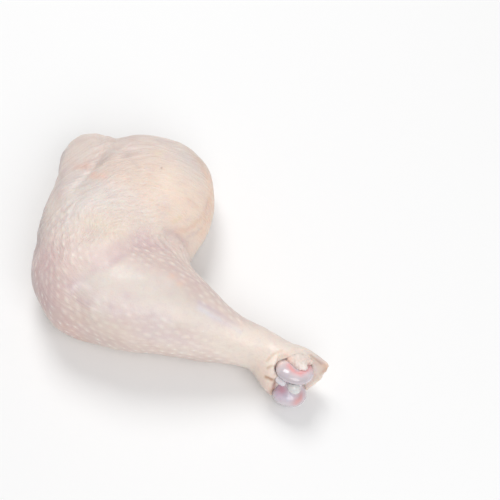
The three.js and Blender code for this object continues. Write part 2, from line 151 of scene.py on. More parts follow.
# Bits of soft tissue on the joint, in the hock's axes: middle, half sizes
TENDON_LUMPS = [
    ((-1.2, 3.2, 10.2), (4.6, 4.4, 2.2)),
    ((-3.8, 5.4, 11.0), (3.2, 2.6, 1.9)),
    ((-3.4, 0.3, 9.7), (2.0, 2.2, 2.2)),
    ((-0.6, 0.4, 9.2), (2.6, 2.4, 2.1)),
    ((1.6, 1.4, 9.4), (2.6, 2.2, 2.2)),
    ((2.6, -0.1, 8.9), (1.9, 1.7, 1.9)),
    ((2.4, 5.4, 9.8), (2.2, 2.4, 1.6)),
]
CARTILAGE_LUMPS = [((3.4, -5.1, 1.5), (2.7, 2.4, 2.2)), ((4.3, -4.5, 0.4), (2.2, 2.2, 1.6))]
LIGAMENT_LUMPS = [
    ((-3.8, -6.0, 2.0), (1.8, 1.5, 1.6)),
    ((-2.3, -6.3, 1.8), (1.9, 1.5, 1.5)),
    ((-1.1, -6.3, 1.5), (1.2, 1.3, 1.2)),
]
TISSUE_MELT = 1.2

# Camera: it looks along +Y and down, at the point that the photo's middle shows
VIEW = {"aim": (32, 15, 0), "elevation": 58, "distance": 620, "lens": 97.04, "sensor": 36}

# Lights in metres: name, place, width, watts. They face the frame's origin.
LIGHTS = [("key", (0.3, -0.7, 0.8), 0.9, 5.5), ("top", (-0.12, 0.53, 0.85), 0.5, 4.3)]
WORLD_LIGHT = 0.42

# The floor in metres: half its width, and how far it lies under the leg
FLOOR = {"half": 3.0, "under": 0.0002}


# Smooth union and intersection, soft steps, lengths and turns

def melt(p, q, width):
    return np.minimum(p, q) - np.maximum(width - np.abs(p - q), 0) ** 2 / (4 * width)


def trim(p, q, width):
    return -melt(-p, -q, width)


def ramp(value, start, end):
    t = np.clip((value - start) / (end - start), 0, 1)
    return t * t * (3 - 2 * t)


def unit(vector):
    return vector / np.linalg.norm(vector)


def norms(rows):
    return np.linalg.norm(rows, axis=1)


def units(rows):
    return rows / np.maximum(norms(rows), 1e-12)[:, None]


def turned(points, degrees):
    """Coordinates in axes that are turned about Z."""
    c, s = math.cos(math.radians(degrees)), math.sin(math.radians(degrees))
    x, y, z = points.T
    return np.stack([c * x + s * y, c * y - s * x, z], axis=1)


# Noise: repeatable and smooth, from -1 to 1, one turn of it about as long as a unit

def cell_value(cell, seed):
    """A value from -1 to 1 for each cell, mixed from its three indices and the seed."""
    x, y, z = cell.T
    mixed = (x * 73856093) ^ (y * 19349663) ^ (z * 83492791) ^ (seed * 2654435)
    mixed = ((mixed ^ (mixed >> 13)) * 1274126177) & 0x7fffffff
    mixed = ((mixed ^ (mixed >> 11)) * 668265263) & 0x7fffffff
    return (mixed >> 8 & 0xffff) / 32767.5 - 1


def noise(points, seed):
    floor = np.floor(points)
    cell = floor.astype(np.int64)
    t = points - floor
    t = t * t * (3 - 2 * t)
    total = np.zeros(len(points))
    for corner in np.ndindex(2, 2, 2):
        weight = np.prod(np.where(corner, t, 1 - t), axis=1)
        total += weight * cell_value(cell + np.array(corner), seed)
    return total


def uneven(points, layers):
    """Layers of noise: how high each is, how often it comes, seed."""
    return sum(high * noise(points * often, seed) for high, often, seed in layers)


# Distance fields of the leg

def oval(points, shape):
    middle, half = (np.array(values, float) for values in shape)
    q = (points - middle) / half
    size = norms(q)
    slope = norms(q / half)
    return size * (size - 1) / np.maximum(slope, 1e-9)


def thigh(points):
    distance = None
    for middle, half, turn, width in THIGH:
        lump = oval(turned(points - np.array(middle), turn), ((0, 0, 0), half))
        distance = lump if distance is None else melt(distance, lump, width)
    return distance


def smooth_rows(rows, between):
    """Rows on a Catmull-Rom curve through the given rows."""
    rows = np.array(rows, float)
    ends = np.vstack([2 * rows[0] - rows[1], rows, 2 * rows[-1] - rows[-2]])
    out = []
    for p, q, r, s in zip(ends, ends[1:], ends[2:], ends[3:]):
        for t in np.arange(between) / between:
            out.append(0.5 * (2 * q + (r - p) * t + (2 * p - 5 * q + 4 * r - s) * t ** 2
                              + (3 * q - p - 3 * r + s) * t ** 3))
    return np.array(out + [rows[-1]])


def drumstick(points):
    rows = smooth_rows(DRUMSTICK, SUBLENGTHS["drumstick"])
    best = np.full(len(points), FAR)
    for start, end in zip(rows[:-1], rows[1:]):
        length = np.linalg.norm(end[:3] - start[:3])
        along = (end[:3] - start[:3]) / length
        side = unit(np.cross((0, 0, 1), along))
        q = points - start[:3]
        run = q @ along
        t = np.clip(run / length, 0, 1)
        width = start[3] + t * (end[3] - start[3])
        height = start[4] + t * (end[4] - start[4])
        section = np.stack([q @ side, q @ np.cross(along, side), run - t * length], axis=1)
        half = np.stack([width, height, np.minimum(width, height)], axis=1)
        size = norms(section / half)
        slope = norms(section / half ** 2)
        best = np.minimum(best, size * (size - 1) / np.maximum(slope, 1e-9))
    return best


def path_distance(points, path):
    """Distance to the line through some points, seen from above where those are flat."""
    path = np.array(path, float)
    points = points[:, :path.shape[1]]
    best = norms(points - path[0])
    for start, end in zip(path[:-1], path[1:]):
        along = end - start
        t = np.clip((points - start) @ along / (along @ along), 0, 1)
        best = np.minimum(best, norms(points - start - t[:, None] * along))
    return best


def valley_depth(points):
    fade = ramp(points[:, 2], *VALLEY_FADE)
    depth = sum(full * np.exp(-(path_distance(points, path) / half) ** 2) for path, half, full in VALLEYS)
    return depth * fade


AXIS_M = unit(CONDYLE_AXIS)
AXIS_A = unit(BONE_HEADING - AXIS_M * (BONE_HEADING @ AXIS_M))
AXIS_B = np.cross(AXIS_M, AXIS_A)
HOCK_AXES = np.stack([AXIS_A, AXIS_B, AXIS_M], axis=1)


def at_hock(points):
    return (points - HOCK) @ HOCK_AXES


def from_hock(local):
    return HOCK + np.array(local, float) @ HOCK_AXES.T


def shaft(points):
    rows = np.array(SHAFT, float)
    along = unit(KNEE_END - ANKLE_END)
    run = (points - ANKLE_END) @ along
    off = norms(points - ANKLE_END - run[:, None] * along)
    side = off - np.interp(run, rows[:, 0], rows[:, 1])
    return trim(side, np.maximum(-run, run - rows[-1, 0] - SHAFT_END), SHAFT_END)


def bone(points):
    q = at_hock(points)
    a, b, m = q.T
    core = np.maximum(np.hypot(a + GROOVE["back"], b) - GROOVE["radius"], np.abs(m) - GROOVE["reach"])
    distance = melt(oval(q, UPPER_CONDYLE), oval(q, LOWER_CONDYLE), BONE_MELT["condyles"])
    distance = melt(distance, core, BONE_MELT["groove"])
    distance = melt(distance, oval(q, BONE_FLARE), BONE_MELT["flare"])
    distance = trim(distance, -oval(q, PIT), BONE_MELT["pit"])
    return melt(distance, shaft(points), BONE_MELT["shaft"])


def flap_edge(m):
    below = FLAP["tip"][2] - m
    return FLAP["tip"][0] - FLAP["lean"] * below - FLAP["bow"] * below ** 2


def sleeve_cut(q):
    a, b, m = q.T
    bow = np.where(m > CUT["middle"], CUT["bow_above"], CUT["bow_below"])
    lip = CUT["at"] + CUT["slant"] * b - bow * (m - CUT["middle"]) ** 2
    lip = np.minimum(lip, flap_edge(m))
    bared = BARED["at"] + BARED["rise"] * ramp(b, *BARED["across"])
    bared += BARED["near"] * np.maximum(BARED["turn"] - b, 0)
    lip += ramp(m, *BARED["up"]) * np.minimum(bared - lip, 0)
    beyond = (a - lip - uneven(q, RAGGED["cut"])) / CUT["steepness"]
    return np.minimum(beyond, CUT["reach"] - norms(q))


def sleeve_flap(q):
    a, b, m = q.T
    edge = a - flap_edge(m) - uneven(q, RAGGED["flap"])
    fall = np.where(a > 0, FLAP["droop"], FLAP["tail"]) * a ** 2
    top = m - (FLAP["top"] - fall)
    curl = FLAP["curl"] * (m - FLAP["curl_from"]) ** 2
    half = FLAP["half"] - FLAP["thinner"] * ramp(a, *FLAP["thin_over"])
    sheet = np.abs(b - FLAP["tip"][1] + curl) - half
    outline = trim(trim(edge, top, FLAP_MELT["top"]), sheet, FLAP_MELT["sheet"])
    outline = trim(outline, FLAP["back"] - a, FLAP_MELT["ends"])
    return trim(outline, FLAP["foot"] - m, FLAP_MELT["ends"])


def sleeve_hollow(q, knuckle):
    """Inside of the sleeve: close round the bone on the near side, open on the far side."""
    room = HUGGING["apart"] + HUGGING["opening"] * ramp(q[:, 1], *HUGGING["across"])
    return np.maximum(oval(q, SLEEVE_HOLLOW), knuckle - room)


def flesh(points):
    distance = melt(thigh(points), drumstick(points), KNEE_MELT) + valley_depth(points)
    distance = trim(distance, -(points[:, 2] + SAG[0]), SAG[1])
    q = at_hock(points)
    near = norms(q) < SLEEVE_ZONE
    if near.any():
        q = q[near]
        knuckle = bone(points[near])
        skin = melt(distance[near], oval(q, SLEEVE), SLEEVE_MELT["shin"])
        skin = trim(skin, sleeve_cut(q), SLEEVE_MELT["cut"])
        skin = trim(skin, -sleeve_hollow(q, knuckle), SLEEVE_MELT["hollow"])
        skin = melt(skin, sleeve_flap(q), SLEEVE_MELT["flap"])
        skin = trim(skin, GAP - knuckle, SLEEVE_MELT["bone"])
        distance[near] = trim(skin, -(points[near, 2] + SAG[0]), SAG[1])
    return np.maximum(distance, GAP - shaft(points))


# Surfaces: faces where a field changes sign on a lattice, their points moved onto it

def ruler(ends, wide, close_ends, close):
    marks = [ends[0]]
    while marks[-1] < ends[1]:
        marks.append(marks[-1] + (close if close_ends[0] <= marks[-1] < close_ends[1] else wide))
    return np.array(marks)


def lattice(rulers, indices):
    return np.stack([marks[index] for marks, index in zip(rulers, indices)], axis=1)


def field_values(field, rulers, stride=4, reach=1.9):
    """The field on a lattice, worked out only near the surface and rough elsewhere."""
    shape = [len(marks) for marks in rulers]
    coarse = [np.unique(np.append(np.arange(0, n, stride), n - 1)) for n in shape]
    grid = np.stack(np.meshgrid(*coarse, indexing="ij"), axis=-1).reshape(-1, 3)
    rough = field(lattice(rulers, grid.T)).reshape([len(part) for part in coarse])
    nearest = [np.clip(np.rint(np.arange(n) / stride).astype(int), 0, len(part) - 1)
               for n, part in zip(shape, coarse)]
    value = rough[np.ix_(*nearest)]
    widest = max(float(np.diff(marks).max()) for marks in rulers)
    close = np.argwhere(np.abs(value) < reach * widest * stride)
    for start in range(0, len(close), CHUNK):
        part = close[start:start + CHUNK]
        value[tuple(part.T)] = field(lattice(rulers, part.T))
    return value


def cell_points(value, cells, rulers):
    """For each cell, the middle of the places where the field changes sign on its edges."""
    total = np.zeros((len(cells), 3))
    hits = np.zeros(len(cells))
    for axis in range(3):
        for shift in np.ndindex(2, 2):
            low = cells + np.insert(shift, axis, 0)
            high = low + STRIDES[axis]
            at_low, at_high = value[tuple(low.T)], value[tuple(high.T)]
            crossing = (at_low < 0) != (at_high < 0)
            t = np.where(crossing, at_low / np.where(crossing, at_low - at_high, 1), 0)
            place = lattice(rulers, low.T) * (1 - t[:, None]) + lattice(rulers, high.T) * t[:, None]
            total[crossing] += place[crossing]
            hits[crossing] += 1
    return total / hits[:, None]


def faces_across(inside, number, axis):
    """Faces round the lattice's edges along an axis that cross the surface, all facing out."""
    one, two = (axis + 1) % 3, (axis + 2) % 3
    edges = np.argwhere(np.diff(inside, axis=axis))
    for side in (one, two):
        edges = edges[(edges[:, side] > 0) & (edges[:, side] < inside.shape[side] - 1)]
    ring = np.stack([number[tuple((edges - p * STRIDES[one] - q * STRIDES[two]).T)]
                     for p, q in ((1, 1), (0, 1), (0, 0), (1, 0))], axis=1)
    outward = ~inside[tuple(edges.T)]
    ring[outward] = ring[outward][:, ::-1]
    return ring


def surface(field, rulers):
    value = field_values(field, rulers)
    inside = value < 0
    shape = np.array(value.shape)
    count = np.zeros(shape - 1, int)
    for corner in np.ndindex(2, 2, 2):
        count += inside[tuple(slice(c, n - 1 + c) for c, n in zip(corner, shape))]
    crossed = (count > 0) & (count < 8)
    number = np.full(crossed.shape, -1)
    number[crossed] = np.arange(crossed.sum())
    points = settle(field, cell_points(value, np.argwhere(crossed), rulers))
    return points, np.vstack([faces_across(inside, number, axis) for axis in range(3)])


def slope_of(field, points, probe=0.04):
    steps = np.eye(3) * probe
    return np.stack([(field(points + step) - field(points - step)) / (2 * probe) for step in steps], axis=1)


def settle(field, points, rounds=2, longest=0.5):
    for _ in range(rounds):
        slope = slope_of(field, points)
        move = -(field(points) / np.maximum((slope ** 2).sum(axis=1), 1e-6))[:, None] * slope
        length = norms(move)[:, None]
        points = points + move * np.minimum(1, longest / np.maximum(length, 1e-9))
    return points


def point_normals(points, faces):
    corners = points[faces]
    flat = np.cross(corners[:, 2] - corners[:, 0], corners[:, 3] - corners[:, 1])
    normals = np.zeros_like(points)
    for corner in range(4):
        for k in range(3):
            normals[:, k] += np.bincount(faces[:, corner], weights=flat[:, k], minlength=len(points))
    return units(normals)


# Relief of the skin

# Creases: points on the skin, half width, depth. The rim along each is given in shares of those
LOBE_EDGE = [(-0.4, 5.4, 31.4), (3.9, 7.2, 28.3), (8.6, 12.1, 27.2), (12, 18.5, 26.3), (13.6, 25.5, 25.5)]
RIM = {"high": 0.3, "away": 2.2}
CREASES = [
    ([(5.5, 0.7, 19.6), (3.4, 2.5, 24.2), (0.5, 3.7, 28.8)], 0.9, 0.45),
    ([(3.4, 2.5, 24.2), (0.5, 3.7, 28.8), (-4.9, 4.5, 34)], 0.9, 0.28),
    ([(-13.2, 17.5, 41.4), (-9.5, 15, 40.2), (-5.8, 12.7, 38.2), (-0.7, 10.4, 34.6)], 0.7, 0.3),
    (LOBE_EDGE, 0.9, 0.22),
    ([(11.4, 15, 23.6), (8.1, 9.2, 23.5), (4.6, 5.4, 26), (0.5, 4.6, 30)], 1.0, 0.35),
    ([(-7, 1, 33.9), (-3.5, -2.9, 31.9), (1, -8.9, 31.7), (4.6, -14.7, 33)], 0.7, 0.35),
    ([(-9.5, -1.2, 35.4), (-6.6, -5.4, 33.8), (-3.4, -10.5, 34), (0.6, -16.6, 34.8)], 0.7, 0.3),
    ([(0.8, 1.6, 26.4), (3.4, -5.8, 26.6), (7.6, -12.8, 28)], 0.7, 0.3),
    ([(-43.6, 34.8, 37), (-39, 34.4, 38.4), (-34.4, 34.6, 39.7)], 1.0, 0.3),
    ([(-31.1, 48.4, 35.1), (-26, 43.2, 39.2), (-19.4, 43.8, 39)], 1.6, 0.45),
    ([(-37.2, 61.5, 24), (-36.9, 58.6, 28.2), (-36.5, 55.1, 30.6), (-36.8, 50, 33)], 1.4, 0.7),
    ([(-30.2, 60, 24), (-29.5, 57.4, 28.2), (-28.9, 52.4, 32.7)], 1.6, 0.6),
    ([(-32.9, 43.6, 37.1), (-36.8, 35.3, 38.7), (-40.8, 28.6, 38.3), (-45, 22.9, 37.1)], 1.3, 0.35),
    ([(39, -53.4, 21.8), (41.8, -51.1, 23.3), (45.2, -49.6, 23.2)], 0.6, 0.4),
    ([(37, -52, 21.6), (39.6, -49.6, 23)], 0.7, 0.25),
    ([(39.3, -56.2, 20.6), (40.8, -55.9, 21.5), (42.5, -55.1, 20.6)], 0.5, 0.35),
    ([(38.4, -58.6, 17.6), (39.8, -59.3, 17.6), (41.2, -59.8, 17.1)], 0.5, 0.5),
    ([(55.6, -48.7, 21.2), (58.4, -51.3, 19.6), (61, -53, 18.5)], 0.6, 0.35),
]

# The leg's line from hip to ankle, seen from above
LEG_LINE = [(-42, 64), (-42, 40), (-41, 14), (-36, -8), (-22, -23), (0, -31), (22, -39), (44, -51)]

# Feather follicles stand in rows along it: their spacing, the half sizes and height of one, its
# lean, how far all keep from floor and hock, the distance given where none is near, the seed of
# the random draws, and how much they vary
FOLLICLE = {"along": 4.3, "across": 3.4, "long": 1.4, "wide": 0.78, "high": 0.2, "skew": 0.12,
            "lowest": 1.5, "clear": 14, "far": 3.0, "seed": 7}
VARIED = {"spacing": (0.85, 1.05), "lean": (-0.3, 0.3), "size": (0.75, 1.25), "strength": (0.1, 1.0)}

# Where they lean further from the leg's line: angle, half width, path
LEANING = [(0.55, 14, [(-58, -18, 20), (-52, -32, 18), (-40, -42, 16), (-22, -48, 14)])]

# Where the follicles show, and where the skin over them is smooth: strength, half width, path
DOTTED = [
    (1.0, 11, [(-62, 12, 20), (-62, -8, 20), (-59, -22, 20), (-50, -36, 18), (-32, -44, 14), (-8, -49, 14),
               (16, -50, 12)]),
    (0.9, 9, [(-51, 6, 38), (-48, -8, 39), (-42, -14, 40)]),
    (1.0, 9, [(-12, -10, 37), (2, -15, 33), (14, -27, 32), (24, -32, 26)]),
    (0.8, 11, [(2, -6, 20), (12, -19, 16), (26, -30, 12)]),
    (0.9, 9, [(-50, -20, 35), (-46, -30, 30), (-38, -37, 27), (-26, -41, 28)]),
    (0.75, 8, [(-45, -36, 27), (-30, -38, 33), (-10, -43, 31), (10, -46, 26)]),
    (0.55, 16, [(-40, 66, 8), (-10, 60, 10), (12, 40, 8)]),
]
SMOOTH = [
    (1.0, 6, [(-36, -25, 39), (-22, -25, 42), (-5.4, -32, 40), (15, -41, 31.5), (32, -45.7, 24)]),
    (0.9, 9, [(36, -44, 20), (48, -54, 20)]),
]
# Where white glints are painted on the follicles as painted highlights: strength, half width, path
PAINTED_GLINTS = [
    (1.0, 7, [(-59, -21, 24), (-52, -31, 24), (-44, -39, 18), (-28, -45, 14), (-2, -49, 17), (10, -49, 16)]),
    (0.9, 1.6, [(9.9, -42.9, 31.2), (13.2, -44.3, 29.4)]),
]

# Where fine lines run along the leg
STREAKED = [
    (1.0, 14, [(-62, 10, 20), (-60, -12, 24), (-54, -28, 22), (-42, -40, 16), (-20, -47, 16), (4, -49, 16)]),
    (0.9, 13, [(-50, -10, 37), (-48, -26, 33), (-40, -36, 29)]),
    (1.0, 11, [(-10, -6, 34), (2, -8, 28), (10, -18, 28), (20, -28, 22)]),
    (0.4, 14, [(24, -38, 28), (40, -48, 22)]),
]

# Fine wrinkles of the thigh curve round this point and waver. Angles about it are counted from
# this heading in degrees, as arcs of this radius
GRAIN_FOCUS = np.array([-12, -10, 14])
GRAIN_START = 125
GRAIN_RADIUS = 30
GRAIN_WARP = {"size": 13, "shift": 2.6, "seed": 51}

# Their two families: strength, lean in degrees, how often they come across and along, seed
WRINKLES = [(0.6, 7, (0.45, 0.075, 0.075), 11), (0.5, -10, (0.68, 0.12, 0.12), 12)]

# They set in past the knee, away from that point and above the floor, and are weaker on the lobe
WRINKLED = {"high": 0.17, "past_knee": (-2, 8), "away": (18, 34), "above": (8, 26)}
LOBE = {"middle": np.array([4, 18, 34]), "half": 15, "less": 0.6}

# Soft unevenness: height, how often it comes, seed
SKIN_BUMPS = [(0.32, 1 / 9.5, 21), (0.14, 1 / 4.2, 22)]
BONE_BUMPS = [(0.08, 1 / 2.6, 31), (0.12, 1 / 6, 32)]
TISSUE_BUMPS = [(0.8, 1 / 1.6, 41), (0.7, 1 / 0.8, 42)]

# Distances over which relief sets in: past the joint, where a share is left, floor and bone
CALM = {"joint": (12, 22), "left": 0.35, "floor": (0.2, 3), "bone": (0.2, 1.6)}


def leg_frame(points):
    """How far along the leg each point is, how far beside its line, and which way it runs there."""
    rows = smooth_rows(LEG_LINE, SUBLENGTHS["leg"])
    lengths = np.append(0, np.cumsum(norms(np.diff(rows, axis=0))))
    beside = np.full(len(points), FAR)
    run = np.zeros(len(points))
    way = np.zeros((len(points), 3))
    for start, end, length in zip(rows[:-1], rows[1:], lengths):
        along = unit(end - start)
        off = points[:, :2] - start
        t = np.clip(off @ along, 0, np.linalg.norm(end - start))
        left = along[0] * off[:, 1] - along[1] * off[:, 0]
        apart = norms(off - t[:, None] * along)
        closer = apart < np.abs(beside)
        beside[closer] = np.copysign(apart, left)[closer]
        run[closer] = length + t[closer]
        way[closer] = (*along, 0)
    return run, beside, way


def follicles(points, normals):
    """Distance to the nearest follicle, where 1 is its own edge, and how strongly that one shows.

    The follicles are set down from hip to ankle, each as close to the last ones as it fits.
    """
    rng = np.random.default_rng(FOLLICLE["seed"])
    tree = KDTree(len(points))
    for number, point in enumerate(points):
        tree.insert(point, number)
    tree.balance()
    run, _, way = leg_frame(points)
    way = units(way - normals * (way * normals).sum(axis=1, keepdims=True))
    cross = np.cross(normals, way)
    free = (points[:, 2] > FOLLICLE["lowest"]) & (norms(at_hock(points)) > FOLLICLE["clear"])
    lean = FOLLICLE["skew"] + spread(points, LEANING)
    distance = np.full(len(points), FOLLICLE["far"])
    strength = np.zeros(len(points))
    for number in np.argsort(run):
        if not free[number]:
            continue
        found = np.array([item[1] for item in tree.find_range(points[number], FOLLICLE["along"])])
        off = points[found] - points[number]
        along, across = off @ way[number], off @ cross[number]
        apart = np.hypot(along / FOLLICLE["along"], across / FOLLICLE["across"])
        free[found[apart < rng.uniform(*VARIED["spacing"])]] = False
        turn = lean[number] + rng.uniform(*VARIED["lean"])
        size = rng.uniform(*VARIED["size"])
        long_way = math.cos(turn) * along - math.sin(turn) * across
        wide_way = math.sin(turn) * along + math.cos(turn) * across
        reach = np.hypot(long_way / FOLLICLE["long"], wide_way / FOLLICLE["wide"]) / size
        closer = reach < distance[found]
        distance[found[closer]] = reach[closer]
        strength[found[closer]] = rng.uniform(*VARIED["strength"])
    return distance, strength


def spread(points, regions):
    """How much each point belongs to some regions, from 0 to 1."""
    total = np.zeros(len(points))
    for strength, half, path in regions:
        total = np.maximum(total, strength * np.exp(-(path_distance(points, path) / half) ** 4))
    return total


def thigh_grain(points):
    """Coordinates across and along the fine wrinkles, which waver a little."""
    wavering = GRAIN_WARP["shift"] * noise(points / GRAIN_WARP["size"], GRAIN_WARP["seed"])
    off = points - GRAIN_FOCUS
    x, y, z = turned(off, GRAIN_START).T
    return np.stack([norms(off) + wavering, np.arctan2(y, x) * GRAIN_RADIUS, z], axis=1)


def leg_grain(points):
    """Coordinates across and along the leg."""
    run, beside, _ = leg_frame(points)
    return np.stack([beside, run, points[:, 2]], axis=1)


def wrinkle_lines(grain):
    """Wrinkles in two families that cross at a narrow angle, from about -1 to 1."""
    return sum(high * noise(turned(grain, degrees) * np.array(often), seed)
               for high, degrees, often, seed in WRINKLES)


def wrinkle_mask(points, reach):
    """How strongly each point is wrinkled, from 0 to 1."""
    mask = ramp(drumstick(points) - thigh(points), *WRINKLED["past_knee"])
    mask *= ramp(reach, *WRINKLED["away"])
    mask *= 1 - LOBE["less"] * np.exp(-(norms(points - LOBE["middle"]) / LOBE["half"]) ** 2)
    return mask * (0.5 + 0.5 * ramp(points[:, 2], *WRINKLED["above"]))


def skin_relief(points, normals):
    """How far the relief lifts each point, and the masks that colour it."""
    grain = thigh_grain(points)
    wrinkled = wrinkle_mask(points, grain[:, 0])
    lift = WRINKLED["high"] * wrinkled * wrinkle_lines(grain) + uneven(points, SKIN_BUMPS)
    for path, half, depth in CREASES:
        off = path_distance(points, smooth_rows(path, SUBLENGTHS["crease"]))
        lift -= depth * np.exp(-(off / half) ** 2)
        lift += RIM["high"] * depth * np.exp(-((off - RIM["away"] * half) / half) ** 2)
    dots, strength = follicles(points, normals)
    dotted = spread(points, DOTTED) * (1 - spread(points, SMOOTH))
    past_joint = ramp(norms(at_hock(points)), *CALM["joint"])
    lift *= CALM["left"] + (1 - CALM["left"]) * past_joint
    lift += FOLLICLE["high"] * dotted * strength * np.exp(-dots ** 2)
    lift *= ramp(points[:, 2], *CALM["floor"]) * ramp(bone(points), *CALM["bone"])
    masks = {"dots": dots, "dotted": dotted, "domed": dotted * strength, "wrinkled": wrinkled,
             "streaked": spread(points, STREAKED), "painted_glint_share": spread(points, PAINTED_GLINTS) * strength,
             "thigh_grain": grain, "leg_grain": leg_grain(points)}
    return lift, masks
